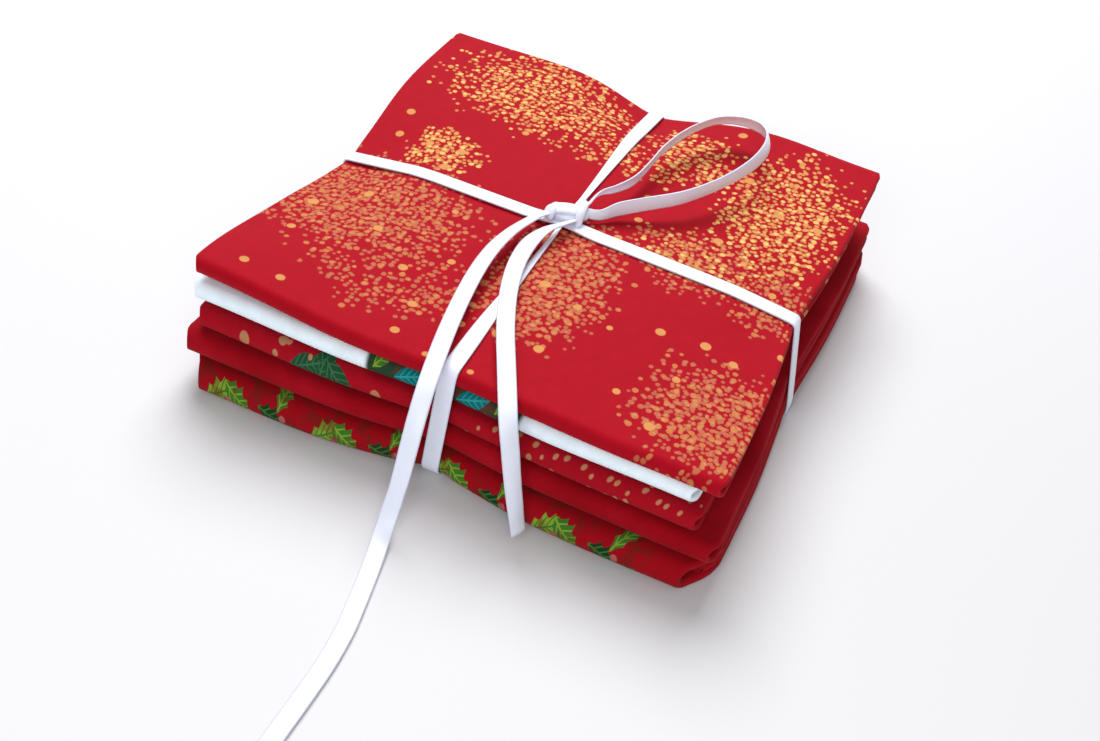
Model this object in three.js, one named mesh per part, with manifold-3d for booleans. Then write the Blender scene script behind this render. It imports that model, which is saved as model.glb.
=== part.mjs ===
// A bundle of five folded fat quarters of quilting cotton, tied crosswise
// with a satin ribbon and a bow of one loop.
// Millimetres, +Z up. The origin is under the middle of the stack, on the surface it lies on.
// X runs along the near folded edge, left to right, and Y runs away from it.

import * as THREE from "three";
import { mergeVertices } from "three/addons/utils/BufferGeometryUtils.js";
import Module from "manifold-3d";

// Cloth: each fat quarter is quartered along its length, which gives a strip of four layers, and the strip
// is then folded in three like a letter. A run is one pass of that strip.
const DEPTH = 146; // from the front fold to the back edge
const RUN_GAP = 0.4; // air between two runs of one fat quarter
const PILE_GAP = 0.6; // air between two fat quarters
const TUCK = 2.5; // how far the inner run stops behind the front fold's bend
const BACK_SHORT = 1.5; // how far the inner fold at the back stops before the top run's cut edges
const EDGE_TAPER = 0.62; // share of a run's thickness left at the side folds
const EDGE_ROUND = 1.6; // length over which the side folds round off
const FLARE_LONG = 0.26; // share of the depth that a raised corner takes
const FLARE_WIDE = 0.3; // share of the width

// One row for each fat quarter, bottom to top. run is the thickness of one pass of the strip. The four named
// corners are the plan of the folded piece, corner is the radius that rounds them off, and flare is how far the
// front left one stands up.
const QUARTERS = [
  { name: "fat_quarter_holly", colour: 0x9c1420, run: 2.4, flare: 0, corner: 13,
    frontLeft: [-70.6, -77.6], frontRight: [72.8, -78.2], backRight: [71.4, 77.4], backLeft: [-69.9, 78.2] },
  { name: "fat_quarter_plain_red", colour: 0x8e0f1b, run: 1.75, flare: 0.2, corner: 3.5,
    frontLeft: [-71.2, -74.6], frontRight: [72.2, -74.6], backRight: [70.2, 74.6], backLeft: [-70.2, 76.2] },
  { name: "fat_quarter_red_leaf", colour: 0xa5182a, run: 1.6, flare: 0.5, corner: 2.5,
    frontLeft: [-68.6, -71.8], frontRight: [66.6, -73.0], backRight: [64.8, 72.4], backLeft: [-68.2, 72.6] },
  { name: "fat_quarter_white_print", colour: 0xe9eef2, run: 1.45, flare: 0.9, corner: 3.0,
    frontLeft: [-71.4, -69.8], frontRight: [64.2, -70.6], backRight: [64.4, 71.0], backLeft: [-69.0, 73.0] },
  { name: "fat_quarter_gold_dot", colour: 0xc01a2e, run: 1.35, flare: 3.0, corner: 2.0,
    frontLeft: [-70.6, -69.6], frontRight: [69.6, -71.6], backRight: [68.2, 74.8], backLeft: [-70.0, 75.8] },
];

// Ribbon: satin, laid flat and thickened to a solid.
const RIBBON_WIDTH = 5;
const RIBBON_THICK = 0.8;
const RIBBON_GAP = 0.52; // air between the ribbon and the cloth under it
const RIBBON_FLOOR = 0.05; // the ribbon's lowest face over the surface
const GROOVE_SPARE = 0.1; // air over the ribbon in its groove, past the gap
const GROOVE = RIBBON_FLOOR + RIBBON_THICK + RIBBON_GAP + GROOVE_SPARE; // depth of the underside's grooves
const GROOVE_HALF = RIBBON_WIDTH / 2 + 0.7; // half the width of a groove
const GROOVE_ROUNDING = 0.1; // how far off a groove's edge a point still counts as on it
const SHARP = 0.6; // cosine of the turn past which the band rounds a corner instead of mitring it
const STRAND_LANE = 4.2; // half width of the lane that the cloth keeps straight under a strand
const LANE_SPARE = 1.2; // how much wider a band looks for the cloth that it lies on
const BAND_STEP = 0.1; // how far the band that runs left to right lies over the other one underneath
const POINT_SPACING = 0.25; // points of a band closer than this are one point, so that no facet is a sliver
const KNOT = { x: -0.4, y: 2.4, z: 34.8, long: 6.4, wide: 4.6, high: 2.0, turn: 24 };

// The plan lines of the cross's two bands. The first runs left to right and drifts forward.
const ACROSS = { left: -67, leftY: 0.6, right: 66, rightY: -3.6 };
const ALONG_X = -0.6;

// Where the ribbon draws an edge in: how far in at the top and at the foot, how far down, along how much edge
// it fades and how deep it reaches. The last row is the back edge's bulge beside the ribbon.
const WAISTS = [
  { edge: "left", at: 0.6, top: 4.0, foot: 2.2, down: 4.2, reach: 30, depth: 30 },
  { edge: "right", at: -3.6, top: 2.4, foot: 1.8, down: 1.4, reach: 24, depth: 26 },
  { edge: "back", at: ALONG_X, top: 4.0, foot: 2.4, down: 3.4, reach: 18, depth: 30 },
  { edge: "front", at: ALONG_X, top: 1.2, foot: 4.2, down: 0.8, reach: 20, depth: 26 },
  { edge: "back", at: 38, top: -1.6, foot: 0, down: -0.6, reach: 17, depth: 28 },
];
const SIDE = 70; // half the width of the stack
const END = 73; // half its depth

// Gentle waves of the pile's surface.
const WAVES = [
  { height: 0.35, alongX: 1 / 96, alongY: 1 / 230, phase: 0.15 },
  { height: 0.3, alongX: -1 / 180, alongY: 1 / 118, phase: 0.6 },
];

// Free ribbon: a row for each point of its middle line. tilt is the angle of its width from flat, in degrees,
// and a positive tilt raises its left edge as it is followed away from the knot.
const LOOP = [
  { x: 6.8, y: 5.2, z: 34.7, tilt: 38 },
  { x: 10.4, y: 9.2, z: 35.6, tilt: 52 },
  { x: 15.2, y: 13.2, z: 36.6, tilt: 62 },
  { x: 23.8, y: 20.5, z: 38.0, tilt: 66 },
  { x: 29.4, y: 28.6, z: 38.8, tilt: 68 },
  { x: 33.6, y: 37.4, z: 39.4, tilt: 70 },
  { x: 36.4, y: 46.8, z: 39.8, tilt: 70 },
  { x: 37.0, y: 55.6, z: 40.0, tilt: 70 },
  { x: 35.4, y: 61.4, z: 40.0, tilt: 70 },
  { x: 32.4, y: 64.4, z: 40.0, tilt: 70 },
  { x: 28.4, y: 65.2, z: 40.0, tilt: 70 },
  { x: 24.4, y: 64.2, z: 40.0, tilt: 70 },
  { x: 20.1, y: 61.2, z: 39.8, tilt: 71 },
  { x: 16.6, y: 55.8, z: 39.4, tilt: 73 },
  { x: 13.5, y: 48.1, z: 38.8, tilt: 75 },
  { x: 11.4, y: 39.5, z: 38.0, tilt: 77 },
  { x: 10.6, y: 30.5, z: 37.2, tilt: 79 },
  { x: 9.6, y: 22.5, z: 36.9, tilt: 80 },
  { x: 6.9, y: 15.9, z: 37.0, tilt: 76 },
  { x: 4.2, y: 11.2, z: 37.2, tilt: 66 },
];
const TAIL_LONG = [
  { x: -6.4, y: -4.2, z: 35.2, tilt: 20 },
  { x: -7.5, y: -9.2, z: 36.0, tilt: 24 },
  { x: -8.9, y: -16.9, z: 36.8, tilt: 24 },
  { x: -9.7, y: -25.7, z: 37.0, tilt: 18 },
  { x: -9.6, y: -34.5, z: 36.5, tilt: 14 },
  { x: -8.5, y: -45.0, z: 35.7, tilt: 10 },
  { x: -6.1, y: -58.8, z: 35.1, tilt: 6 },
  { x: -3.8, y: -69.5, z: 34.4, tilt: 4 },
  { x: -2.2, y: -77.5, z: 32.0, tilt: 2 },
  { x: -1.3, y: -83.0, z: 27.4, tilt: 0 },
  { x: -0.9, y: -86.9, z: 21.2, tilt: 0 },
  { x: -0.9, y: -90.0, z: 13.5, tilt: 0 },
  { x: -1.2, y: -93.2, z: 6.2, tilt: 0 },
  { x: -0.8, y: -97.6, z: 1.8, tilt: 0 },
  { x: 1.1, y: -105.8, z: 0.5, tilt: 0 },
  { x: 3.4, y: -116.5, z: 0.5, tilt: 0 },
  { x: 5.1, y: -125.3, z: 0.5, tilt: 0 },
  { x: 6.1, y: -135.7, z: 0.5, tilt: 0 },
  { x: 6.3, y: -146.2, z: 0.5, tilt: 0 },
  { x: 6.3, y: -157.5, z: 0.5, tilt: 0 },
  { x: 6.6, y: -166.0, z: 0.5, tilt: 0 },
];
const TAIL_SHORT = [
  { x: 0.6, y: -5.2, z: 35.6, tilt: -8 },
  { x: -1.9, y: -10.4, z: 36.0, tilt: -8 },
  { x: -3.3, y: -17.2, z: 35.9, tilt: -6 },
  { x: -2.9, y: -25.9, z: 35.3, tilt: -3 },
  { x: -0.2, y: -36.8, z: 34.8, tilt: 0 },
  { x: 5.1, y: -50.2, z: 34.5, tilt: 0 },
  { x: 11.5, y: -63.2, z: 33.9, tilt: 0 },
  { x: 15.6, y: -71.2, z: 32.9, tilt: 0 },
  { x: 18.6, y: -76.4, z: 30.0, tilt: 0 },
  { x: 21.2, y: -79.2, z: 24.0, tilt: 0 },
  { x: 23.3, y: -80.9, z: 17.5, tilt: 0 },
  { x: 25.5, y: -82.2, z: 10.5, tilt: 0 },
  { x: 27.3, y: -82.9, z: 4.2, tilt: 0 },
];

// Fineness of the facets.
const BEND_STEPS = 6;
const INNER_BEND_STEPS = 4;
const LOOP_STEPS = 40;
const LONG_STEPS = 48;
const SHORT_STEPS = 28;

const smooth = (t) => {
  const c = Math.min(1, Math.max(0, t));
  return c * c * (3 - 2 * c);
};
const mix = (a, b, t) => a + (b - a) * t;
const heightOf = (q) => 3 * q.run + 2 * RUN_GAP;

const bases = [];
let pileTop = 0;
for (const quarter of QUARTERS) {
  bases.push(pileTop);
  pileTop += heightOf(quarter) + PILE_GAP;
}
const PILE_HEIGHT = pileTop - PILE_GAP;

// The middle line of the band that runs left to right.
function acrossY(x) {
  return mix(ACROSS.leftY, ACROSS.rightY, (x - ACROSS.left) / (ACROSS.right - ACROSS.left));
}

// The pile as the ribbon and its own weight shape it: takes a point of the even pile to its place.
function settle(x, y, z) {
  const high = z / PILE_HEIGHT;
  let [px, py, pz] = [x, y, z];
  for (const waist of WAISTS) {
    const sideways = waist.edge === "left" || waist.edge === "right";
    const along = (sideways ? y : x) - waist.at;
    const into = { left: x + SIDE, right: SIDE - x, back: END - y, front: y + END }[waist.edge];
    const near = Math.exp(-((along / waist.reach) ** 2));
    const share = near * (1 - smooth(into / waist.depth));
    pz -= waist.down * share * high;
    const pull = share * mix(waist.foot, waist.top, high);
    if (waist.edge === "left") px += pull;
    if (waist.edge === "right") px -= pull;
    if (waist.edge === "back") py -= pull;
    if (waist.edge === "front") py += pull;
  }
  for (const wave of WAVES) {
    pz += wave.height * high * Math.sin(2 * Math.PI * (x * wave.alongX + y * wave.alongY + wave.phase));
  }
  return new THREE.Vector3(px, py, pz);
}

// The stations along X and the points along a run that all the pile shares, so that neighbours bend alike.
const STATIONS = [-56, -36, -17, ALONG_X - STRAND_LANE, ALONG_X + STRAND_LANE, 17, 36, 56];
const RUN_OUTER = 42; // how far from the middle a run's first and last shared points are
const runPoints = (x) => [-RUN_OUTER, acrossY(x) - STRAND_LANE, acrossY(x) + STRAND_LANE, RUN_OUTER];

// A strand's groove in the underside needs its own edges there.
const grooveEdges = (middle) => [middle - GROOVE_HALF, middle + GROOVE_HALF];

// The section of one folded fat quarter at a station: the middle line of its strip from the tucked end, back
// along the inner run, round the back fold, forward along the bottom run, round the front fold and back along
// the top run. Each point holds its distance behind the front fold, its height and the way across the strip.
function foldPath(quarter, toDistance, x, grooved) {
  const { run } = quarter;
  const high = heightOf(quarter);
  const bend = (high - run) / 2; // radius of the front fold's middle line
  const backBend = (run + RUN_GAP) / 2;
  const points = [];
  const add = (s, h, ns, nh) => points.push({ s, h, ns, nh });
  const along = runPoints(x).map(toDistance);
  const lower = grooved
    ? [...along, ...grooveEdges(acrossY(x)).map(toDistance)].sort((a, b) => a - b)
    : along;

  const inner = run + RUN_GAP + run / 2;
  add(high / 2 + TUCK, inner, 0, -1);
  along.forEach((s) => add(s, inner, 0, -1));
  const backCentre = DEPTH - BACK_SHORT - backBend - run / 2;
  for (let i = 0; i <= INNER_BEND_STEPS; i++) {
    const a = Math.PI / 2 - (Math.PI * i) / INNER_BEND_STEPS;
    const [c, n] = [Math.cos(a), Math.sin(a)];
    add(backCentre + backBend * c, run / 2 + backBend + backBend * n, -c, -n);
  }
  [...lower].reverse().forEach((s) => add(s, run / 2, 0, 1));
  for (let i = 0; i <= BEND_STEPS; i++) {
    const a = -Math.PI / 2 - (Math.PI * i) / BEND_STEPS;
    const [c, n] = [Math.cos(a), Math.sin(a)];
    add(high / 2 + bend * c, high / 2 + bend * n, -c, -n);
  }
  along.forEach((s) => add(s, high - run / 2, 0, -1));
  add(DEPTH, high - run / 2, 0, -1);
  return points;
}

// How far a corner's rounding moves the side edge in, at a distance behind the front fold.
function cornerCut(radius, distance) {
  const near = Math.max(0, Math.min(distance, DEPTH - distance));
  return near < radius ? radius - Math.sqrt(radius ** 2 - (radius - near) ** 2) : 0;
}

// Both faces of the strip at one station, as one closed ring of points. A station is a line of constant X, or
// runs along a side edge, its inset from that edge in x.
function foldRing(quarter, base, station, grooved) {
  const { x, edge, squeeze } = station;
  const plan = edge ? quarter[edge === "left" ? "frontLeft" : "frontRight"][0] : x;
  const share = (plan - quarter.frontLeft[0]) / (quarter.frontRight[0] - quarter.frontLeft[0]);
  const front = mix(quarter.frontLeft[1], quarter.frontRight[1], share);
  const back = mix(quarter.backLeft[1], quarter.backRight[1], share);
  const toDistance = (y) => ((y - front) / (back - front)) * DEPTH;
  const path = foldPath(quarter, toDistance, plan, grooved);
  const half = (quarter.run * squeeze) / 2;
  const place = (p, side) => {
    const s = p.s + p.ns * side * half;
    const h = p.h + p.nh * side * half;
    const v = s / DEPTH;
    const left = mix(quarter.frontLeft[0], quarter.backLeft[0], v) + cornerCut(quarter.corner, s);
    const right = mix(quarter.frontRight[0], quarter.backRight[0], v) - cornerCut(quarter.corner, s);
    const px = { left: left + x, right: right - x }[edge] ?? x;
    const py = mix(front, back, v);
    const lift = quarter.flare * (1 - smooth(share / FLARE_WIDE)) * (1 - smooth(v / FLARE_LONG));
    const at = settle(px, py, base + h);
    at.z += lift;
    const offLine = Math.min(Math.abs(px - ALONG_X), Math.abs(py - acrossY(px)));
    if (grooved && offLine <= GROOVE_HALF + GROOVE_ROUNDING) at.z = Math.max(at.z, GROOVE);
    return at;
  };
  return [...path.map((p) => place(p, 1)), ...path.map((p) => place(p, -1)).reverse()];
}

// A closed mesh from rings of equal length. Ends are closed across the strip, point to opposite point. Each quad
// is split along the diagonal that runs away and to the right, so that faces that lie on each other bend alike.
function skin(rings, closed) {
  const size = rings[0].length;
  const vertices = rings.flat().flatMap((p) => [p.x, p.y, p.z]);
  const faces = [];
  const links = closed ? rings.length : rings.length - 1;
  for (let r = 0; r < links; r++) {
    const near = r * size;
    const far = ((r + 1) % rings.length) * size;
    for (let i = 0; i < size; i++) {
      const j = (i + 1) % size;
      const away = rings[r][j].y > rings[r][i].y;
      if (away) faces.push(near + i, near + j, far + j, near + i, far + j, far + i);
      else faces.push(near + i, near + j, far + i, near + j, far + j, far + i);
    }
  }
  if (!closed) {
    const last = (rings.length - 1) * size;
    for (let i = 0; i < size / 2 - 1; i++) {
      const [a, b, c, d] = [i, i + 1, size - 2 - i, size - 1 - i];
      faces.push(a, c, b, a, d, c, last + a, last + b, last + c, last + a, last + c, last + d);
    }
  }
  const geometry = new THREE.BufferGeometry();
  geometry.setAttribute("position", new THREE.Float32BufferAttribute(vertices, 3));
  geometry.setIndex(faces);
  return geometry;
}

function quarterGeometry(quarter, index) {
  const base = bases[index];
  const grooved = index === 0;
  const inside = grooved ? [...STATIONS, ...grooveEdges(ALONG_X)].sort((a, b) => a - b) : STATIONS;
  const stations = [
    { x: 0, edge: "left", squeeze: EDGE_TAPER },
    { x: EDGE_ROUND, edge: "left", squeeze: 1 },
    ...inside.map((x) => ({ x, squeeze: 1 })),
    { x: EDGE_ROUND, edge: "right", squeeze: 1 },
    { x: 0, edge: "right", squeeze: EDGE_TAPER },
  ];
  const rings = stations.map((station) => foldRing(quarter, base, station, grooved));
  return skin(rings, false);
}

// The pile's points near a band, as that band sees them in its own plane: distance along it and height.
function lanePoints(rings, along, across) {
  const inLane = rings.flat().filter((p) => Math.abs(across(p)) < STRAND_LANE + LANE_SPARE);
  return inLane.map((p) => [along(p), p.z]);
}

// The outline of a set of points, anticlockwise.
function hullOf(points) {
  const sorted = [...points].sort((a, b) => a[0] - b[0] || a[1] - b[1]);
  const cross = (o, a, b) => (a[0] - o[0]) * (b[1] - o[1]) - (a[1] - o[1]) * (b[0] - o[0]);
  const half = (list) => {
    const chain = [];
    for (const p of list) {
      while (chain.length > 1 && cross(chain.at(-2), chain.at(-1), p) <= 1e-9) chain.pop();
      chain.push(p);
    }
    return chain.slice(0, -1);
  };
  return [...half(sorted), ...half(sorted.reverse())];
}

// A taut band round the pile: the cloth's outline in its lane, moved out by the gap and half the thickness.
function bandGeometry(points, direction, origin, level) {
  const away = RIBBON_GAP + RIBBON_THICK / 2;
  const lowest = RIBBON_FLOOR + level + RIBBON_THICK / 2;
  const hull = hullOf(points);
  const line = [];
  hull.forEach((p, i) => {
    const before = hull.at(i - 1);
    const after = hull[(i + 1) % hull.length];
    const out = (a, b) => new THREE.Vector2(b[1] - a[1], a[0] - b[0]).normalize();
    const [n, m] = [out(before, p), out(p, after)];
    const half = n.clone().add(m).normalize();
    const mitre = half.clone().divideScalar(half.dot(n));
    const turns = n.dot(m) > SHARP ? [mitre] : [n, half, m];
    turns.forEach((d) => line.push([p[0] + d.x * away, Math.max(lowest, p[1] + d.y * away)]));
  });
  const spaced = line.filter((p, i) => {
    const before = line[(i + line.length - 1) % line.length];
    return Math.hypot(p[0] - before[0], p[1] - before[1]) > POINT_SPACING;
  });
  const width = new THREE.Vector3().crossVectors(direction, new THREE.Vector3(0, 0, 1)).normalize();
  const rings = spaced.map((p, i) => {
    const before = spaced.at(i - 1);
    const after = spaced[(i + 1) % spaced.length];
    const [tx, tz] = [after[0] - before[0], after[1] - before[1]];
    const length = Math.hypot(tx, tz);
    const out = direction.clone().multiplyScalar(tz / length).add(new THREE.Vector3(0, 0, -tx / length));
    const middle = direction.clone().multiplyScalar(p[0]).add(origin).setZ(p[1]);
    const corner = (w, t) => {
      const at = middle.clone().addScaledVector(width, (w * RIBBON_WIDTH) / 2);
      at.addScaledVector(out, (t * RIBBON_THICK) / 2);
      at.z = Math.max(at.z, RIBBON_FLOOR + level);
      return at;
    };
    return [corner(-1, -1), corner(1, -1), corner(1, 1), corner(-1, 1)];
  });
  return skin(rings, true);
}

// A free length of ribbon along a table of points, its width turned by each row's tilt.
function strandGeometry(table, steps) {
  const places = table.map(({ x, y, z }) => new THREE.Vector3(x, y, z));
  const middle = new THREE.CatmullRomCurve3(places, false, "centripetal");
  const turns = new THREE.CatmullRomCurve3(table.map(({ tilt }, i) => new THREE.Vector3(i, tilt, 0)));
  const rings = [];
  for (let i = 0; i <= steps; i++) {
    const t = i / steps;
    const at = middle.getPoint(t);
    const forward = middle.getTangent(t);
    const level = new THREE.Vector3(-forward.y, forward.x, 0).normalize();
    const tilt = THREE.MathUtils.degToRad(turns.getPoint(t).y);
    const width = level.clone().applyAxisAngle(forward, tilt);
    const up = new THREE.Vector3().crossVectors(forward, width);
    const corner = (w, h) =>
      at.clone().addScaledVector(width, (w * RIBBON_WIDTH) / 2).addScaledVector(up, (h * RIBBON_THICK) / 2);
    rings.push([corner(-1, -1), corner(1, -1), corner(1, 1), corner(-1, 1)]);
  }
  return skin(rings, false);
}

const wasm = await Module();
wasm.setup();

function toSolid(geometry) {
  const plain = mergeVertices(geometry, 1e-4);
  const vertProperties = plain.getAttribute("position").array;
  const triVerts = new Uint32Array(plain.index.array);
  return new wasm.Manifold(new wasm.Mesh({ numProp: 3, vertProperties, triVerts }));
}

function toGeometry(solid) {
  const mesh = solid.getMesh();
  const geometry = new THREE.BufferGeometry();
  geometry.setAttribute("position", new THREE.BufferAttribute(mesh.vertProperties, 3));
  geometry.setIndex(new THREE.BufferAttribute(mesh.triVerts, 1));
  return geometry;
}

// The knot: a flattened lump where the strands cross, and the short turn of ribbon that binds it.
function knotGeometry() {
  const lump = new THREE.SphereGeometry(1, 14, 8).deleteAttribute("normal").deleteAttribute("uv");
  lump.scale(KNOT.long, KNOT.wide, KNOT.high).rotateZ(THREE.MathUtils.degToRad(KNOT.turn));
  return lump.translate(KNOT.x, KNOT.y, KNOT.z);
}

function tieGeometry(pile) {
  const slope = new THREE.Vector3(ACROSS.right - ACROSS.left, ACROSS.rightY - ACROSS.leftY, 0).normalize();
  const acrossLane = lanePoints(pile, (p) => p.x / slope.x, (p) => p.y - acrossY(p.x));
  const alongLane = lanePoints(pile, (p) => p.y, (p) => p.x - ALONG_X);
  const across = bandGeometry(acrossLane, slope, new THREE.Vector3(0, acrossY(0), 0), BAND_STEP);
  const along = bandGeometry(alongLane, new THREE.Vector3(0, 1, 0), new THREE.Vector3(ALONG_X, 0, 0), 0);
  const joined = toSolid(across).add(toSolid(along)).add(toSolid(knotGeometry()));
  return toGeometry(joined);
}

function named(name, geometry, colour, roughness) {
  const material = new THREE.MeshStandardMaterial({ color: colour, roughness, metalness: 0 });
  const mesh = new THREE.Mesh(geometry, material);
  mesh.name = name;
  return mesh;
}

const bundle = new THREE.Group();
const pile = new THREE.Group();
const cloths = QUARTERS.map((quarter, index) => quarterGeometry(quarter, index));
QUARTERS.forEach((quarter, index) => pile.add(named(quarter.name, cloths[index], quarter.colour, 0.9)));

const pilePoints = cloths.map((geometry) => {
  const position = geometry.getAttribute("position");
  const { count: length } = position;
  return Array.from({ length }, (_, i) => new THREE.Vector3().fromBufferAttribute(position, i));
});
const WHITE = 0xf4f2f6;
const SATIN = 0.35;
const tie = new THREE.Group();
tie.add(named("ribbon_wrap", tieGeometry(pilePoints), WHITE, SATIN));
tie.add(named("ribbon_loop", strandGeometry(LOOP, LOOP_STEPS), WHITE, SATIN));
tie.add(named("ribbon_tail_long", strandGeometry(TAIL_LONG, LONG_STEPS), WHITE, SATIN));
tie.add(named("ribbon_tail_short", strandGeometry(TAIL_SHORT, SHORT_STEPS), WHITE, SATIN));
bundle.add(pile, tie);

export default bundle;
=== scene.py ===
# %% [markdown]
# # A tied bundle of fat quarters
#
# A fat quarter is a piece of quilting cotton, about 457 by 559 mm. Shops fold several of them to
# the same size, stack them and tie them with a ribbon. This lesson builds such a bundle: five
# folded cloths, each made from its own flat sheet, and one satin ribbon that goes round them both
# ways and ends in a bow with a single loop.
#
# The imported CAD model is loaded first. It is the frame: every cloth and every stretch of ribbon
# stays in the space that its solid holds there.

import math

import bpy
import numpy as np
from mathutils import Matrix, Vector


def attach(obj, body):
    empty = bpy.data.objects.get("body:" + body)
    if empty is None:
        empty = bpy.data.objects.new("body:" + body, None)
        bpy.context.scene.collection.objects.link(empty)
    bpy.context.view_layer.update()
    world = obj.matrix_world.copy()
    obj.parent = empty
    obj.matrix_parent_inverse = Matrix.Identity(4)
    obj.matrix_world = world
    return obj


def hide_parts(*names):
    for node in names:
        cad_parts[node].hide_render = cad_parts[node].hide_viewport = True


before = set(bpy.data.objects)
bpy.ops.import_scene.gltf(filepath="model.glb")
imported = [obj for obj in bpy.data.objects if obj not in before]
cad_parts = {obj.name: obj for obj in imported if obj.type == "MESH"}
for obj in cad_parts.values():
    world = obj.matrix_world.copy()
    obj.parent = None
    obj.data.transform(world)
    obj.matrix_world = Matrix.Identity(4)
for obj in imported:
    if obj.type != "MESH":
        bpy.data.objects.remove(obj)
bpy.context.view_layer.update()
MM = 0.001

# %% [markdown]
# ## The camera
#
# A camera is a place, three directions and a lens. These were found by fitting a box to the
# corners of the stack in the photograph. Blender's camera looks along its own -Z with Y up, so
# the matrix holds right, up and back as columns.

# %% Place the camera
CAMERA_AT = Vector((103.6, -319.2, 269.3)) * MM
CAMERA_TURN, CAMERA_RISE, CAMERA_ROLL = (math.radians(a) for a in (17.65, 40.72, -9.48))
PICTURE_WIDTH, FOCAL_PIXELS, SENSOR = 1100, 1537, 36.0
NEAREST, FARTHEST = 0.01, 20  # metres

back = Vector((
    math.sin(CAMERA_TURN) * math.cos(CAMERA_RISE),
    -math.cos(CAMERA_TURN) * math.cos(CAMERA_RISE),
    math.sin(CAMERA_RISE),
))
level_right = (-back).cross(Vector((0, 0, 1))).normalized()
level_down = (-back).cross(level_right)
roll_cos, roll_sin = math.cos(CAMERA_ROLL), math.sin(CAMERA_ROLL)
right = roll_cos * level_right + roll_sin * level_down
down = -roll_sin * level_right + roll_cos * level_down
turn = Matrix((right, -down, back)).transposed().to_4x4()

lens = bpy.data.cameras.new("camera")
lens.sensor_fit, lens.sensor_width = "HORIZONTAL", SENSOR
lens.lens = FOCAL_PIXELS / PICTURE_WIDTH * SENSOR
lens.clip_start, lens.clip_end = NEAREST, FARTHEST
camera = bpy.data.objects.new("camera", lens)
camera.matrix_world = Matrix.Translation(CAMERA_AT) @ turn
bpy.context.scene.collection.objects.link(camera)
bpy.context.scene.camera = camera
print("lens %.1f mm" % lens.lens)

# %% [markdown]
# ## A strip of ribbon
#
# Satin ribbon is a long woven strip with a firm edge along each side. It could be a curve with a
# flat bevel, but a real ribbon turns about its own length, crowns a little and narrows where it
# is pulled into a knot. So it is a small cross section that is carried along a line, with its own
# tilt and width at each step. The first helper makes a mesh with its place on the flat cloth.

# %% A mesh from points


def link_mesh(name, points, faces, uv):
    """A new object from points in millimetres. uv is each one's place in metres on flat cloth."""
    mesh = bpy.data.meshes.new(name)
    mesh.from_pydata((np.asarray(points) * MM).tolist(), [], [list(map(int, f)) for f in faces])
    layer = mesh.uv_layers.new(name="cloth")
    corner_point = np.zeros(len(mesh.loops), np.int32)
    mesh.loops.foreach_get("vertex_index", corner_point)
    layer.data.foreach_set("uv", np.asarray(uv, np.float32)[corner_point].ravel())
    mesh.polygons.foreach_set("use_smooth", [True] * len(mesh.polygons))
    mesh.update()
    piece = bpy.data.objects.new(name, mesh)
    bpy.context.scene.collection.objects.link(piece)
    return piece


def volume_of(points, faces):
    """Six times the volume inside a closed mesh, negative where its faces point inwards."""
    total = 0.0
    for f in faces:
        for i in range(1, len(f) - 1):
            total += float(np.dot(points[f[0]], np.cross(points[f[i]], points[f[i + 1]])))
    return total


# %% The cross section along a line
FULL = 5.0  # the ribbon's width, mm
RIBBON_THICK = 0.35  # mm
ACROSS_POINTS = 13
# the firm edge: its extra thickness in mm, and its place and reach in halves of the width
EDGE_EXTRA, EDGE_AT, EDGE_REACH = 0.05, 0.93, 0.06


def swept_strip(name, line, side, up, width, crown, closed=False):
    """A ribbon along a line whose width lies along side and whose upper face looks along up."""
    count = len(line)
    width, crown = (np.broadcast_to(np.asarray(v, float), count) for v in (width, crown))
    t = np.linspace(-1, 1, ACROSS_POINTS)
    firm_edge = EDGE_EXTRA * np.exp(-(((np.abs(t) - EDGE_AT) / EDGE_REACH) ** 2))
    along = np.r_[0, np.cumsum(np.linalg.norm(np.diff(line, axis=0), axis=1))]
    rings, uv = [], []
    for i in range(count):
        level = line[i] + side[i] * (t * width[i] / 2)[:, None]
        across = level + up[i] * (crown[i] * (1 - t**2))[:, None]
        half = up[i] * (RIBBON_THICK / 2 + firm_edge)[:, None]
        rings.append(np.vstack([across + half, (across - half)[::-1]]))
        flat = np.c_[t * FULL / 2, np.full(ACROSS_POINTS, along[i])]
        uv.append(np.vstack([flat, flat[::-1]]) * MM)
    size = 2 * ACROSS_POINTS
    points = np.vstack(rings)
    faces = []
    for r in range(count if closed else count - 1):
        near, far = r * size, ((r + 1) % count) * size
        for i in range(size):
            after = (i + 1) % size
            faces.append((near + i, near + after, far + after, far + i))
    if not closed:
        for at, flip in ((0, False), ((count - 1) * size, True)):
            for i in range(ACROSS_POINTS - 1):
                cap = (at + i, at + size - 1 - i, at + size - 2 - i, at + i + 1)
                faces.append(cap[::-1] if flip else cap)
    if volume_of(points, faces) < 0:
        faces = [f[::-1] for f in faces]
    return link_mesh(name, points, faces, np.vstack(uv))


def ribbon_strip(name, line, tilt, width, crown):
    """A ribbon along a line in mm. tilt is its width's angle from level in degrees."""
    forward = np.gradient(line, axis=0)
    forward /= np.linalg.norm(forward, axis=1)[:, None]
    level = np.c_[-forward[:, 1], forward[:, 0], np.zeros(len(line))]
    level /= np.maximum(np.linalg.norm(level, axis=1)[:, None], 1e-9)
    rise = np.cross(forward, level)
    a = np.radians(tilt)[:, None]
    side = level * np.cos(a) + rise * np.sin(a)
    return swept_strip(name, line, side, np.cross(forward, side), width, crown)


print("ribbon %.1f mm wide and %.2f mm thick" % (FULL, RIBBON_THICK))

# %% [markdown]
# ## The loop and the two tails
#
# These are the ribbon's free lengths, so they come right after the camera. The points are those
# of the CAD model, and one more at each end that is hidden in the knot. The loop stands nearly on
# edge, as satin ribbon does when a bow is pulled tight, and both tails fall over the near edge of
# the stack. A smooth spline goes through the points.

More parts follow.
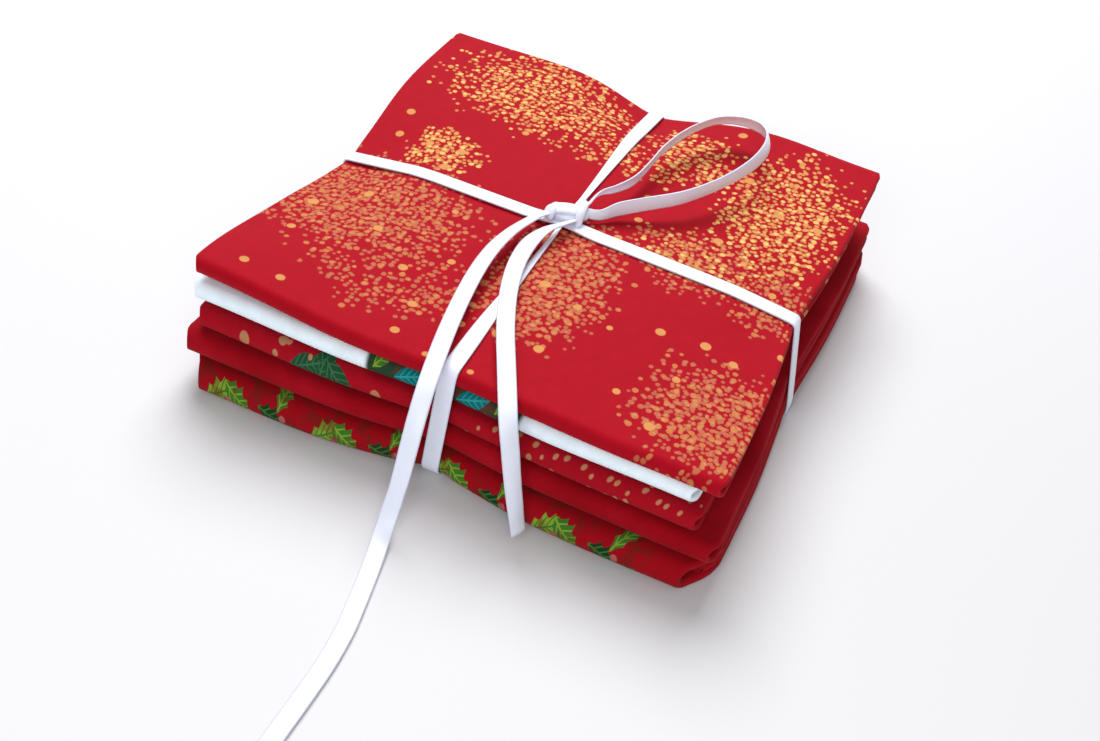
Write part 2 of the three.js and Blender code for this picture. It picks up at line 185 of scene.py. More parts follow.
# %% The routes
SHOWN = 0.9 * FULL  # it curls a little across its width, so less than all of it shows
CURL = 0.3
# for each point of the middle line: x, y, z, the width's tilt in degrees, and its width if not FULL
LOOP = [
    (2.6, 3.6, 35.0, 60, 2.8), (6.8, 5.2, 34.7, 84, 3.4), (10.4, 9.2, 35.6, 92),
    (15.2, 13.2, 36.6, 92), (23.8, 20.5, 38.0, 94), (29.4, 28.6, 38.8, 96), (33.6, 37.4, 39.4, 91),
    (36.4, 46.8, 39.8, 80), (37.0, 55.6, 40.0, 70), (35.4, 61.4, 40.0, 68), (32.4, 64.4, 40.0, 68),
    (28.4, 65.2, 40.0, 64), (24.4, 64.2, 40.0, 60), (20.1, 61.2, 39.8, 62), (16.6, 55.8, 39.4, 68),
    (13.5, 48.1, 38.8, 75), (11.4, 39.5, 38.0, 77), (10.6, 30.5, 37.2, 79, 4.8),
    (9.6, 22.5, 36.9, 80, 4.4), (6.9, 15.9, 37.0, 76, 3.4), (4.2, 11.2, 37.2, 66, 2.6),
    (2.8, 5.6, 35.6, 50, 2.2),
]
TAIL_LONG = [
    (-3.2, 0.4, 35.2, 10, 2.8), (-6.4, -4.2, 35.2, 20, 3.7), (-7.5, -9.2, 36.0, 24, 4.6),
    (-8.9, -16.9, 36.8, 24), (-9.7, -25.7, 37.0, 18), (-9.6, -34.5, 36.5, 14),
    (-8.5, -45.0, 35.7, 10), (-6.1, -58.8, 35.1, 6), (-3.8, -69.5, 34.4, 4), (-2.2, -77.5, 32.0, 2),
    (-1.3, -83.0, 27.4, 0), (-0.9, -86.9, 21.2, 0), (-0.9, -90.0, 13.5, 0), (-1.2, -93.2, 6.2, 0),
    (-0.8, -97.6, 1.8, 0), (1.1, -105.8, 0.5, 0), (3.4, -116.5, 0.5, 0), (5.1, -125.3, 0.5, 0),
    (6.1, -135.7, 0.5, 0), (6.3, -146.2, 0.5, 0), (6.3, -157.5, 0.5, 0), (6.6, -166.0, 0.5, 0),
]
TAIL_SHORT = [
    (2.2, -0.8, 34.6, 26, 2.6), (0.6, -5.2, 35.6, 26, 3.4), (-1.9, -10.4, 36.0, 20, 4.2),
    (-3.3, -17.2, 35.9, 8), (-2.9, -25.9, 35.3, 0), (-0.2, -36.8, 34.8, 0), (5.1, -50.2, 34.5, 0),
    (11.5, -63.2, 33.9, 0), (15.6, -71.2, 32.9, 0), (18.6, -76.4, 30.0, 0), (21.2, -79.2, 24.0, 0),
    (23.3, -80.9, 17.5, 0), (25.5, -82.2, 10.5, 0), (27.3, -82.9, 4.2, 0),
]
print("route points:", len(LOOP), len(TAIL_LONG), len(TAIL_SHORT))

# %% Lay the free lengths
STEPS_BETWEEN_ROWS = 24


def smooth_route(table, steps):
    """The rows of a table as one smooth, evenly spaced line: a centripetal Catmull-Rom spline."""
    rows = np.asarray(table, float)
    rows = np.vstack([2 * rows[0] - rows[1], rows, 2 * rows[-1] - rows[-2]])
    out = []
    for p0, p1, p2, p3 in zip(rows, rows[1:], rows[2:], rows[3:]):
        pairs = ((p0, p1), (p1, p2), (p2, p3))
        k = np.cumsum([0] + [np.linalg.norm(b[:3] - a[:3]) ** 0.5 for a, b in pairs])
        at = np.linspace(k[1], k[2], STEPS_BETWEEN_ROWS, endpoint=False)[:, None]
        a1, a2, a3 = (
            ((k[i + 1] - at) * a + (at - k[i]) * b) / (k[i + 1] - k[i])
            for i, (a, b) in enumerate(pairs)
        )
        b1 = ((k[2] - at) * a1 + (at - k[0]) * a2) / (k[2] - k[0])
        b2 = ((k[3] - at) * a2 + (at - k[1]) * a3) / (k[3] - k[1])
        out.append(((k[2] - at) * b1 + (at - k[1]) * b2) / (k[2] - k[1]))
    fine = np.vstack(out + [rows[-2:-1]])
    long = np.r_[0, np.cumsum(np.linalg.norm(np.diff(fine[:, :3], axis=0), axis=1))]
    at = np.linspace(0, long[-1], steps)
    return np.stack([np.interp(at, long, fine[:, k]) for k in range(fine.shape[1])], 1), long[-1]


def free_ribbon(name, node, table, steps):
    """One free length of ribbon, in the place of its CAD solid."""
    route, length = smooth_route([(*row, FULL)[:5] for row in table], steps)
    piece = ribbon_strip(name, route[:, :3], route[:, 3], route[:, 4] * SHOWN / FULL, CURL)
    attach(piece, "root")
    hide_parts(node)
    print(name, "%.1f mm long" % length)
    return piece


loop = free_ribbon("bow_loop", "ribbon_loop", LOOP, 170)
tail_long = free_ribbon("bow_tail_long", "ribbon_tail_long", TAIL_LONG, 200)
tail_short = free_ribbon("bow_tail_short", "ribbon_tail_short", TAIL_SHORT, 130)

# %% [markdown]
# ## How a fat quarter is folded
#
# The cloth is quartered along its length, which gives a strip of four layers, and the strip is
# folded in three like a letter. It could be a block with a picture of folds on it, but then its
# sides would be wrong from every angle. Here each cloth is one flat grid of points, and two small
# tables say where each point goes: across the strip, over its four layers, and along the strip,
# round its folds.

# %% The pile's sizes, in millimetres
DEPTH = 146
RUN_GAP, PILE_GAP = 0.4, 0.6  # between a packet's three runs, and between packets
TUCK, BACK_SHORT = 2.5, 1.5  # the hidden end and the inner back fold stop short by this
CLOTH = 0.22  # thickness of quilting cotton
FLAT = (0.457, 0.559)  # the cut of a fat quarter, m
LAYERS = 4
# name, run thickness, flare, corner radius, corners: front left, front right, back right, back left
QUARTERS = [
    ("holly", 2.4, 0.0, 13, (-70.6, -77.6), (72.8, -78.2), (71.4, 77.4), (-69.9, 78.2)),
    ("plain_red", 1.75, 0.2, 3.5, (-71.2, -74.6), (72.2, -74.6), (70.2, 74.6), (-70.2, 76.2)),
    ("red_leaf", 1.6, 0.5, 2.5, (-68.6, -71.8), (66.6, -73.0), (64.8, 72.4), (-68.2, 72.6)),
    ("white_print", 1.45, 0.9, 3.0, (-71.4, -69.8), (64.2, -70.6), (64.4, 71.0), (-69.0, 73.0)),
    ("gold_dot", 1.35, 3.0, 2.0, (-70.6, -69.6), (69.6, -71.6), (68.2, 74.8), (-70.0, 75.8)),
]


def high_of(run):
    return 3 * run + 2 * RUN_GAP


PILE_HEIGHT = sum(high_of(q[1]) + PILE_GAP for q in QUARTERS) - PILE_GAP
print("pile %.1f mm high, %d layers in each fat quarter" % (PILE_HEIGHT, 3 * LAYERS))

# %% [markdown]
# ### How the ribbon's pull settles the pile
#
# A tied stack isn't an even block. The ribbon draws its edges in and down where it goes round
# them, and the packets lie in slow waves. One function does this to every point of every cloth,
# so neighbours move together and stay apart.

# %% Settle the pile
SIDE, END = 70, 73  # half the pile's width and depth
ACROSS_LEFT, ACROSS_RIGHT = (-67, 0.6), (66, -3.6)  # the ends of the ribbon's slanting line
ALONG_X = -0.6  # and its line from front to back
# edge, place along it, pull at the top, pull at the foot, down, reach along it, depth into the pile
WAISTS = [
    ("left", 0.6, 4.0, 2.2, 4.2, 30, 30), ("right", -3.6, 2.4, 1.8, 1.4, 24, 26),
    ("back", ALONG_X, 4.0, 2.4, 3.4, 18, 30), ("front", ALONG_X, 1.2, 4.2, 0.8, 20, 26),
    ("back", 38, -1.6, 0, -0.6, 17, 28),
    ("left", 0.6, 0.6, 0.6, 0.4, 5, 7), ("right", -3.6, 0.6, 0.6, 0.4, 5, 7),
    ("back", ALONG_X, 0.4, 0.4, 0.3, 7, 10), ("front", ALONG_X, 0.6, 0.6, 0.4, 5, 7),
]
WAVES = [(0.35, 1 / 96, 1 / 230, 0.15), (0.3, -1 / 180, 1 / 118, 0.6)]  # height, by x, by y, phase
UNEVEN_TOP, UNEVEN_SIDE, UNEVEN_FRONT = 0.28, 0.45, 0.4
DRIFT_WAVES, FIRST_SPAN, SPAN_STEP = 6, 26, 9
GROOVE_LIFT = 1.0  # the underside clears the ribbon by this


def ease(t):
    t = np.clip(t, 0, 1)
    return t * t * (3 - 2 * t)


def mix(a, b, t):
    return a + (b - a) * t


def across_y(x):
    share = (x - ACROSS_LEFT[0]) / (ACROSS_RIGHT[0] - ACROSS_LEFT[0])
    return mix(ACROSS_LEFT[1], ACROSS_RIGHT[1], share)


def drift(seed, *axes):
    """A smooth uneven wave from -1 to 1 over coordinates in millimetres, the same on every run."""
    r = np.random.default_rng(seed)
    total = 0
    for k in range(DRIFT_WAVES):
        phase = r.uniform(0, 2 * math.pi)
        span = FIRST_SPAN + SPAN_STEP * k
        turn_by = sum(axis * r.uniform(-1, 1) * 2 * math.pi / span for axis in axes)
        total = total + np.sin(turn_by + phase) / DRIFT_WAVES * r.uniform(0.6, 1.6)
    return total


def settle(x, y, z):
    """Takes points of the even pile to their places in the tied one."""
    high = np.maximum(z - GROOVE_LIFT, 0) / PILE_HEIGHT  # the underside stays level
    px, py, pz = x.copy(), y.copy(), z.copy()
    for edge, at, top, foot, sink, reach, depth in WAISTS:
        along = (y if edge in ("left", "right") else x) - at
        into = {"left": x + SIDE, "right": SIDE - x, "back": END - y, "front": y + END}[edge]
        share = np.exp(-((along / reach) ** 2)) * (1 - ease(into / depth))
        pz -= sink * share * high
        pull = share * mix(foot, top, high)
        if edge in ("left", "right"):
            px += pull if edge == "left" else -pull
        else:
            py += pull if edge == "front" else -pull
    for height, by_x, by_y, phase in WAVES:
        pz += height * high * np.sin(2 * math.pi * (x * by_x + y * by_y + phase))
    pz += UNEVEN_TOP * high * drift(41, x, y)
    return px, py, pz


print(len(WAISTS), "places where the ribbon pulls the pile in or lets it out")

# %% [markdown]
# ### Across the strip and along it
#
# Folding a cloth in half and in half again leaves one open fold and two raw edges on one side,
# and two folds on the other, one inside the other. The letter fold then tucks the first third in,
# and lays the last third over it. Grid lines lie close together at the folds and under the
# ribbon, where the cloth turns most.

# %% Across the strip
CLOSE, WIDE_STEP, GROWTH = 1.3, 6.0, 0.35  # grid spacing beside a fold, at most, and its growth
EVEN_WIDTH = 140.0  # the packet's width that the grid is spaced for
RAW_INNER, RAW_OUTER = 1.1, 0.5  # how far the two raw edges stop inside the folds beside them


def spaced_line(start, end, near):
    """Places from start to end, close together at both ends and around the given places."""
    places = [start]
    while places[-1] < end:
        here = places[-1]
        off = min([here - start, end - here] + [abs(here - n) for n in near])
        places.append(here + min(WIDE_STEP, CLOSE + GROWTH * max(0, off)))
    places = np.array(places)
    return start + (places - start) * (end - start) / (places[-1] - start)


def across_strip(run):
    """Rows of share of the width, distance from that edge, height in the strip, place on cloth."""
    step = (run - CLOTH) / (LAYERS - 1)
    quarter = FLAT[1] / MM / LAYERS
    share = spaced_line(0.0, EVEN_WIDTH, [EVEN_WIDTH / 2])[1:-1] / EVEN_WIDTH
    rows = []

    def layer(k, shares, start):
        rightwards = start % (2 * quarter) < 1
        for a in shares:
            rows.append((a, 0.0, (k - 1.5) * step, start + (a if rightwards else 1 - a) * quarter))

    def bend(edge, middle, radius, tip, u, steps, up):
        for i in range(steps + 1):
            a = math.pi * i / steps
            out = tip - radius + radius * math.sin(a)
            rows.append((edge, out if edge else -out, middle + (-up) * radius * math.cos(a), u))

    rows.append((0.0, RAW_INNER, 0.5 * step, 0.0))
    layer(2, share, 0.0)
    bend(1.0, 0.0, 0.5 * step, -CLOTH / 2 - step, quarter, 8, -1)
    layer(1, share[::-1], quarter)
    bend(0.0, -step, 0.5 * step, -CLOTH / 2, 2 * quarter, 8, -1)
    layer(0, share, 2 * quarter)
    bend(1.0, 0.0, 1.5 * step, -CLOTH / 2, 3 * quarter, 14, 1)
    layer(3, share[::-1], 3 * quarter)
    rows.append((0.0, RAW_OUTER, 1.5 * step, 4 * quarter))
    return np.array(rows)


print("grid lines across a strip:", len(across_strip(QUARTERS[0][1])))

# %% Along the strip
RIBBON_CROSSES = [END + y for y in (-3.6, -1.5, 0.6)]  # how far back the slanting ribbon lies
BACK_BEND, FRONT_BEND = 11, 17  # points round the two folds


def along_strip(run):
    """Rows of distance behind the front fold, height, the way across the strip and length."""
    high = high_of(run)
    radius, back_radius = (high - run) / 2, (run + RUN_GAP) / 2
    back_at = DEPTH - BACK_SHORT - back_radius - run / 2
    front = high / 2
    tucked = spaced_line(front + TUCK, back_at, RIBBON_CROSSES)
    rows = [(s, run + RUN_GAP + run / 2, 0, -1) for s in tucked]

    def bend(at, middle, reach, first, last, points):
        for a in np.linspace(first, last, points)[1:-1]:
            c, s = math.cos(a), math.sin(a)
            rows.append((at + reach * c, middle + reach * s, -c, -s))

    quarter_turn = math.pi / 2
    bend(back_at, run / 2 + back_radius, back_radius, quarter_turn, -quarter_turn, BACK_BEND)
    rows += [(s, run / 2, 0, 1) for s in spaced_line(front, back_at, RIBBON_CROSSES)[::-1]]
    bend(front, front, radius, -quarter_turn, -3 * quarter_turn, FRONT_BEND)
    top_from = len(rows)
    rows += [(s, high - run / 2, 0, -1) for s in spaced_line(front, DEPTH, RIBBON_CROSSES)]
    rows = np.array(rows, float)
    long = np.r_[0, np.cumsum(np.hypot(np.diff(rows[:, 0]), np.diff(rows[:, 1])))]
    return np.c_[rows, long - long[top_from]]


print("grid lines along a strip:", len(along_strip(QUARTERS[0][1])))

# %% Round the corners
STEEPEST = 0.75  # a corner turns no steeper than this, so the layers in its side folds keep apart


def corner_cut(radius, distance):
    """How far a rounded corner draws an edge in, at a distance from the front fold."""
    from_middle = radius - np.clip(np.minimum(distance, DEPTH - distance), 0, radius)
    limit = radius * STEEPEST / math.hypot(1, STEEPEST)
    arc = radius - np.sqrt(radius**2 - np.minimum(from_middle, limit) ** 2)
    return arc + STEEPEST * np.maximum(from_middle - limit, 0)


print("a 13 mm corner is cut by %.1f mm at its tip" % corner_cut(13, 0))

# %% [markdown]
# ### One folded cloth
#
# Where the two tables meet, each point of the grid has its share of the width, its distance from
# the front and its height. Then the packet's own corners, its raised front left corner and the
# pull of the ribbon are added, and Solidify gives the sheet the thickness of cotton. The bottom
# cloth also makes room for the ribbon under it, so that the bundle lies level.

# %% Shape one cloth
FLARE_LONG, FLARE_WIDE = 0.26, 0.3  # shares of depth and width where the raised corner fades
GROOVE_FLAT, GROOVE_REACH = 3.7, 6.6  # half widths of the groove, in full and where it ends
OFF_THE_FLOOR = 0.02


def groove_under(x, y, z, run):
    """How far the bottom cloth is lifted over the ribbon, less the further up in the cloth."""
    near = np.minimum(np.abs(x - ALONG_X), np.abs(y - across_y(x)))
    lift_off = GROOVE_LIFT * (1 - ease((near - GROOVE_FLAT) / (GROOVE_REACH - GROOVE_FLAT)))
    return lift_off * np.clip(1 - z / high_of(run), 0, 1)


def grid_faces(rows, columns):
    grid = np.arange(rows * columns).reshape(rows, columns)
    around = [grid[:-1, :-1], grid[:-1, 1:], grid[1:, 1:], grid[1:, :-1]]
    return np.stack(around, -1).reshape(-1, 4)


def folded_cloth(name, run, flare, corner, front_left, front_right, back_right, back_left,
                 base, seed):
    """One fat quarter, folded and settled, as a single sheet with no thickness yet."""
    across, along = across_strip(run), along_strip(run)
    share, off, lift, u = (across[:, k][:, None] for k in range(4))
    s_mid, h_mid, ns, nh, w = (along[:, k][None, :] for k in range(5))
    distance, height = s_mid + ns * lift, h_mid + nh * lift
    v = distance / DEPTH
    drawn_in = corner_cut(corner, np.minimum(s_mid - run / 2, DEPTH))  # the same for all layers
    left = mix(front_left[0], back_left[0], v) + drawn_in
    edge_right = mix(front_right[0], back_right[0], v) - drawn_in
    left = left + UNEVEN_SIDE * drift(seed, w + 0 * v) * np.ones_like(left)
    edge_right = edge_right + UNEVEN_SIDE * drift(seed + 1, w + 0 * v) * np.ones_like(edge_right)
    x = left + share * (edge_right - left) + off
    front = mix(front_left[1], front_right[1], share)
    rear = mix(back_left[1], back_right[1], share)
    y = mix(front, rear, v) + UNEVEN_FRONT * drift(seed + 2, x) * (1 - ease(v * 4))
    raised = flare * (1 - ease(share / FLARE_WIDE)) * (1 - ease(v / FLARE_LONG))
    z = base + height
    if base == 0:
        z = z + groove_under(x, y, z, run)
    px, py, pz = settle(x, y, z)
    pz = np.maximum(pz + raised, CLOTH / 2 + OFF_THE_FLOOR)
    middle = 2.5 * FLAT[1] / LAYERS
    flat_x = np.broadcast_to(u * MM - middle, px.shape)
    flat_y = np.broadcast_to((w - DEPTH / 2) * MM, px.shape)
    return link_mesh(name, np.stack([px, py, pz], -1).reshape(-1, 3), grid_faces(*px.shape),
                     np.stack([flat_x, flat_y], -1).reshape(-1, 2))


def give_thickness(piece):
    thick = piece.modifiers.new("thickness of the cloth", "SOLIDIFY")
    thick.thickness, thick.offset = CLOTH * MM, 0
    bpy.ops.object.select_all(action="DESELECT")
    piece.select_set(True)
    bpy.context.view_layer.objects.active = piece
    bpy.ops.object.modifier_apply(modifier=thick.name)


print("cloth %.2f mm thick" % CLOTH)

# %% Fold the five cloths
cloths = {}
base = 0.0
for number, (name, run, flare, corner, *corners) in enumerate(QUARTERS):
    piece = folded_cloth("cloth_" + name, run, flare, corner, *corners, base, 100 + 10 * number)
    give_thickness(piece)
    base += high_of(run) + PILE_GAP
    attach(piece, "root")
    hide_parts("fat_quarter_" + name)
    cloths[name] = piece
    print(name, len(piece.data.polygons), "faces")

# %% [markdown]
# ## The ribbon round the stack
#
# A taut ribbon takes the shortest way round what it holds, which is the outline of the pile in
# its lane. So the ribbon lies just outside the outline of the cloths' points near its line,
# rounded at each edge that it turns over. Near the knot it is pulled narrow, most of all in the
# strands towards and away from the viewer.

# %% The outline of the pile
pile_points = []
for piece in cloths.values():
    co = np.zeros(len(piece.data.vertices) * 3, np.float32)
    piece.data.vertices.foreach_get("co", co)
    pile_points.append(co.reshape(-1, 3).astype(float) / MM)
pile_points = np.vstack(pile_points)


def outline(points):
    """The outline of points in a plane, anticlockwise."""
    pts = sorted(set(map(tuple, np.round(points, 3))))

    def turns_right(a, b, p):
        return (b[0] - a[0]) * (p[1] - a[1]) - (b[1] - a[1]) * (p[0] - a[0]) <= 0

    def half(chain_of):
        chain = []
        for p in chain_of:
            while len(chain) > 1 and turns_right(chain[-2], chain[-1], p):
                chain.pop()
            chain.append(p)
        return chain[:-1]

    return np.array(half(pts) + half(pts[::-1]))


print("the pile has", len(pile_points), "points")

# %% A taut band
KNOT_AT = np.array([-0.3, 1.7, 34.4])
BAND_STEPS = 520
BAND_CLEAR = 0.26  # between the cloth and the ribbon's inner face, mm
BAND_LANE = 3.4  # half the width of the cloth that holds the ribbon up, mm
BAND_CROWN = 0.12
TOP_FROM = PILE_HEIGHT * 0.7  # above this the ribbon is on top of the pile
RISE_AT_KNOT, RISE_REACH = 0.9, 12


def taut_band(name, along_axis, origin, narrow, lowest, drop):
    """A closed band of ribbon round the pile, in the upright plane through origin."""
    flat = pile_points - origin
    sideways = np.array([-along_axis[1], along_axis[0], 0])
    inside = np.abs(flat @ sideways) < BAND_LANE
    hull = outline(np.c_[flat[inside] @ along_axis, pile_points[inside][:, 2]])
    round_it = np.linspace(0, 2 * math.pi, 16, endpoint=False)
    away = (RIBBON_THICK / 2 + BAND_CLEAR) * np.c_[np.cos(round_it), np.sin(round_it)]
    hull = outline((hull[:, None] + away[None]).reshape(-1, 2))
    closed = np.vstack([hull, hull[:1]])
    long = np.r_[0, np.cumsum(np.linalg.norm(np.diff(closed, axis=0), axis=1))]
    at = np.linspace(0, long[-1], BAND_STEPS, endpoint=False)
    path = np.stack([np.interp(at, long, closed[:, k]) for k in range(2)], 1)
    path[:, 1] = np.maximum(path[:, 1] - drop * (1 - ease(path[:, 1] / 2)), lowest)
    path = (np.roll(path, 1, 0) + 2 * path + np.roll(path, -1, 0)) / 4
    way = np.roll(path, -2, 0) - np.roll(path, 2, 0)
    way /= np.linalg.norm(way, axis=1)[:, None]
    out = np.c_[way[:, 1], -way[:, 0]]
    line = origin + path[:, :1] * along_axis
    line[:, 2] = path[:, 1]
    up = out[:, :1] * along_axis
    up[:, 2] = out[:, 1]
    from_knot = np.linalg.norm(line - KNOT_AT, axis=1)
    on_top = line[:, 2] > TOP_FROM
    front = (line - KNOT_AT) @ along_axis < 0
    width = np.full(BAND_STEPS, SHOWN)
    for side_of, (least, begins, reach) in zip((front, ~front), narrow):
        near = on_top & side_of
        width[near] = mix(least, SHOWN, ease((from_knot[near] - begins) / reach))
    line[:, 2] += np.where(on_top, RISE_AT_KNOT * (1 - ease(from_knot / RISE_REACH)), 0)
    side = np.broadcast_to(sideways, line.shape)
    crown = BAND_CROWN * np.clip(up[:, 2], 0, 1)  # none under the pile, where it lies flat
    return swept_strip(name, line, side, up, width, crown, closed=True)


# before and behind the knot: the least width, how far from the knot it widens, over what length
NARROW_ACROSS = ((3.8, 3, 6), (3.8, 3, 6))
NARROW_ALONG = ((1.2, 8, 60), (1.5, 3, 58))
ACROSS_LOWEST, ALONG_LOWEST, ALONG_DROP = 0.70, 0.24, 0.45  # one passes under the other
slope = np.array([ACROSS_RIGHT[0] - ACROSS_LEFT[0], ACROSS_RIGHT[1] - ACROSS_LEFT[1], 0.0])
slope /= np.linalg.norm(slope)
band_across = taut_band("ribbon_across", slope, np.array([0, across_y(0.0), 0.0]),
                        NARROW_ACROSS, ACROSS_LOWEST, 0.0)
band_along = taut_band("ribbon_along", np.array([0.0, 1.0, 0.0]), np.array([ALONG_X, 0.0, 0.0]),
                       NARROW_ALONG, ALONG_LOWEST, ALONG_DROP)
print("two bands of", BAND_STEPS, "steps")

# %% [markdown]
# ## The knot
#
# The knot is the ribbon wound round the crossing. It could be a ball, but a satin knot shows its
# passes: one along it from left to right, one that binds the root of the loop and one at the
# left, where the long tail leaves. The core is a sphere that is shaped in edit mode, and each
# pass is a short strip that hugs it.

# %% The knot's core
KNOT_HALF = (4.9 * MM, 3.3 * MM, 1.9 * MM)
KNOT_TURN = math.radians(24)
bpy.ops.object.select_all(action="DESELECT")
bpy.ops.mesh.primitive_uv_sphere_add(segments=32, ring_count=16, radius=1, location=(0, 0, 0))
core = bpy.context.active_object
core.name = core.data.name = "knot_core"
bpy.ops.object.mode_set(mode="EDIT")
bpy.ops.mesh.select_all(action="SELECT")
bpy.ops.transform.resize(value=KNOT_HALF)
bpy.ops.object.mode_set(mode="OBJECT")
to_its_place = Matrix.Translation(Vector(KNOT_AT * MM)) @ Matrix.Rotation(KNOT_TURN, 4, "Z")
core.data.transform(to_its_place)
bpy.ops.object.shade_smooth()
core_uv = core.data.uv_layers[0]
core_uv.name = "cloth"
for corner in core.data.loops:  # the satin's lines run the long way of the knot
    spot = core.data.vertices[corner.vertex_index].co
    core_uv.data[corner.index].uv = (spot.y / 2, spot.x)
print("knot core %.1f mm long" % (2 * KNOT_HALF[0] / MM))

# %% The knot's passes
PASS_TO, PASS_POINTS = 105, 45  # degrees to each side of its top
PASS_NARROW = 0.25  # how much narrower it is at a right angle to its top


def knot_pass(name, offset, heading, reach, high, width, crown):
    """A pass of ribbon that hugs the core, offset along the knot, along a heading in degrees."""
    a = math.radians(heading)
    way = np.array([math.cos(a), math.sin(a), 0])
    sideways = np.array([-math.sin(a), math.cos(a), 0])
    centre = KNOT_AT + offset * np.array([math.cos(KNOT_TURN), math.sin(KNOT_TURN), 0])
    t = np.radians(np.linspace(-PASS_TO, PASS_TO, PASS_POINTS))
    over = np.array([0, 0, 1]) * (high * np.cos(t))[:, None]
    line = centre + way * (reach * np.sin(t))[:, None] + over
    forward = np.gradient(line, axis=0)
    forward /= np.linalg.norm(forward, axis=1)[:, None]
    side = np.broadcast_to(sideways, line.shape)
    width = width * (1 - PASS_NARROW + PASS_NARROW * np.cos(t))
    return swept_strip(name, line, side, np.cross(forward, side), width, crown)


# offset, heading, reach, height, width and crown of each
pass_over = knot_pass("knot_pass_over", -0.8, 20, 4.9, 1.6, 4.8, 0.9)
pass_right = knot_pass("knot_pass_right", 3.2, 100, 3.9, 2.7, 2.7, 0.7)
pass_left = knot_pass("knot_pass_left", -4.3, 92, 2.6, 1.8, 2.3, 0.6)
tie_pieces = [band_across, band_along, core, pass_over, pass_right, pass_left]
for piece in tie_pieces:
    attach(piece, "root")
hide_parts("ribbon_wrap")
print("knot tied from", len(tie_pieces), "pieces")

# %% [markdown]
# ## A recipe for printed cotton
#
# A print could be painted as a picture, but then it has one scale and can't be changed. Here it
# is worked out in nodes on the flat cloth's own coordinates, in metres, so it bends round the
# folds as real print does. A small helper keeps the node work short: each call adds one node and
# returns its result.

# %% Node helper


class Recipe:
    """A material and short ways to add nodes to it."""

    def __init__(self, name, base, rough):
        self.material = bpy.data.materials.new(name)
        self.material.use_nodes = True
        self.tree = self.material.node_tree
        self.shader = next(n for n in self.tree.nodes if n.type == "BSDF_PRINCIPLED")
        self.set(self.shader, "Base Color", (*base, 1))
        self.set(self.shader, "Roughness", rough)

    def set(self, node, socket, value):
        target = node.inputs[socket]
        if isinstance(value, bpy.types.NodeSocket):
            self.tree.links.new(value, target)
        else:
            target.default_value = value

    def add(self, kind, sockets=(), **settings):
        """A new node, first with its settings and then with a value or a link in each socket."""
        node = self.tree.nodes.new(kind)
        for key, value in settings.items():
            setattr(node, key, value)
        for socket, value in dict(sockets).items():
            self.set(node, socket, value)
        return node

    def math(self, how, *values):
        return self.add("ShaderNodeMath", enumerate(values), operation=how).outputs[0]

    def vector(self, how, *values, out=0):
        return self.add("ShaderNodeVectorMath", enumerate(values), operation=how).outputs[out]

    def split(self, value):
        node = self.add("ShaderNodeSeparateXYZ", {0: value})
        return node.outputs[0], node.outputs[1]

    def edge(self, value, low, high):
        """0 below low and 1 above high, eased between."""
        return self.add("ShaderNodeMapRange", {"Value": value, "From Min": low, "From Max": high},
                        interpolation_type="SMOOTHSTEP").outputs["Result"]

    def blend(self, factor, under, over):
        under, over = (colour if isinstance(colour, bpy.types.NodeSocket) else (*colour, 1)
                       for colour in (under, over))
        sockets = {0: factor, 6: under, 7: over}
        return self.add("ShaderNodeMix", sockets, data_type="RGBA").outputs[2]

    def noise(self, at, scale, detail):
        node = self.add("ShaderNodeTexNoise", {"Vector": at, "Scale": scale, "Detail": detail})
        return node.outputs["Fac"], node.outputs["Color"]

    def bump(self, height, strength, deep, under=None):
        """The bent normal of a height, which is deep in millimetres, over the bump under it."""
        sockets = {"Height": height, "Strength": strength, "Distance": deep * MM}
        if under is not None:
            sockets["Normal"] = under
        return self.add("ShaderNodeBump", sockets).outputs[0]

    def flat_cloth(self):
        return self.add("ShaderNodeUVMap", uv_map="cloth").outputs[0]


print("node helper ready")

# %% [markdown]
# ### The weave
#
# Quilting cotton is a plain weave of fine, slightly uneven yarn. Its threads are too fine to
# model, so they are a bump: two sine waves for over and under, noise for slubs in the yarn, and
# under them a wide, soft unevenness from handling. The yarn also takes the dye unevenly.

# %% Weave
THREAD = 0.37 * MM
SLUB_SCALE, DENT_SCALE, YARN_SCALE = 900, 55, 260  # noise per metre
SLUB_SHARE = 1.4
YARN_CHANGE, YARN_LEAST = 0.22, 0.89
COTTON_SHEEN, COTTON_SHEEN_ROUGH, COTTON_SPECULAR = 0.03, 0.5, 0.06


def weave(recipe, at, colour):
    """Gives a cotton its threads: a fine bump, uneven yarn and the soft fuzz of its surface."""
    u, v = recipe.split(at)
    per = 2 * math.pi / THREAD
    over = recipe.math("MULTIPLY", recipe.math("SINE", recipe.math("MULTIPLY", u, per)),
                       recipe.math("SINE", recipe.math("MULTIPLY", v, per)))
    slub, _ = recipe.noise(at, SLUB_SCALE, 3)
    threads = recipe.math("ADD", over, recipe.math("MULTIPLY", slub, SLUB_SHARE))
    dents, _ = recipe.noise(at, DENT_SCALE, 2)
    handled = recipe.bump(dents, 0.35, 1.6)
    recipe.set(recipe.shader, "Normal", recipe.bump(threads, 0.22, 0.06, handled))
    yarn, _ = recipe.noise(at, YARN_SCALE, 4)
    shade = recipe.math("MULTIPLY_ADD", yarn, YARN_CHANGE, YARN_LEAST)
    dyed = recipe.vector("SCALE", colour)
    recipe.set(dyed.node, "Scale", shade)
    recipe.set(recipe.shader, "Base Color", dyed)
    recipe.shader.inputs["Sheen Weight"].default_value = COTTON_SHEEN
    recipe.shader.inputs["Sheen Roughness"].default_value = COTTON_SHEEN_ROUGH
    recipe.shader.inputs["Specular IOR Level"].default_value = COTTON_SPECULAR


def lay_on(cloth, recipe):
    cloths[cloth].data.materials.append(recipe.material)
    print("print laid on", cloths[cloth].name)


print("weave of %.2f mm threads" % (THREAD / MM))

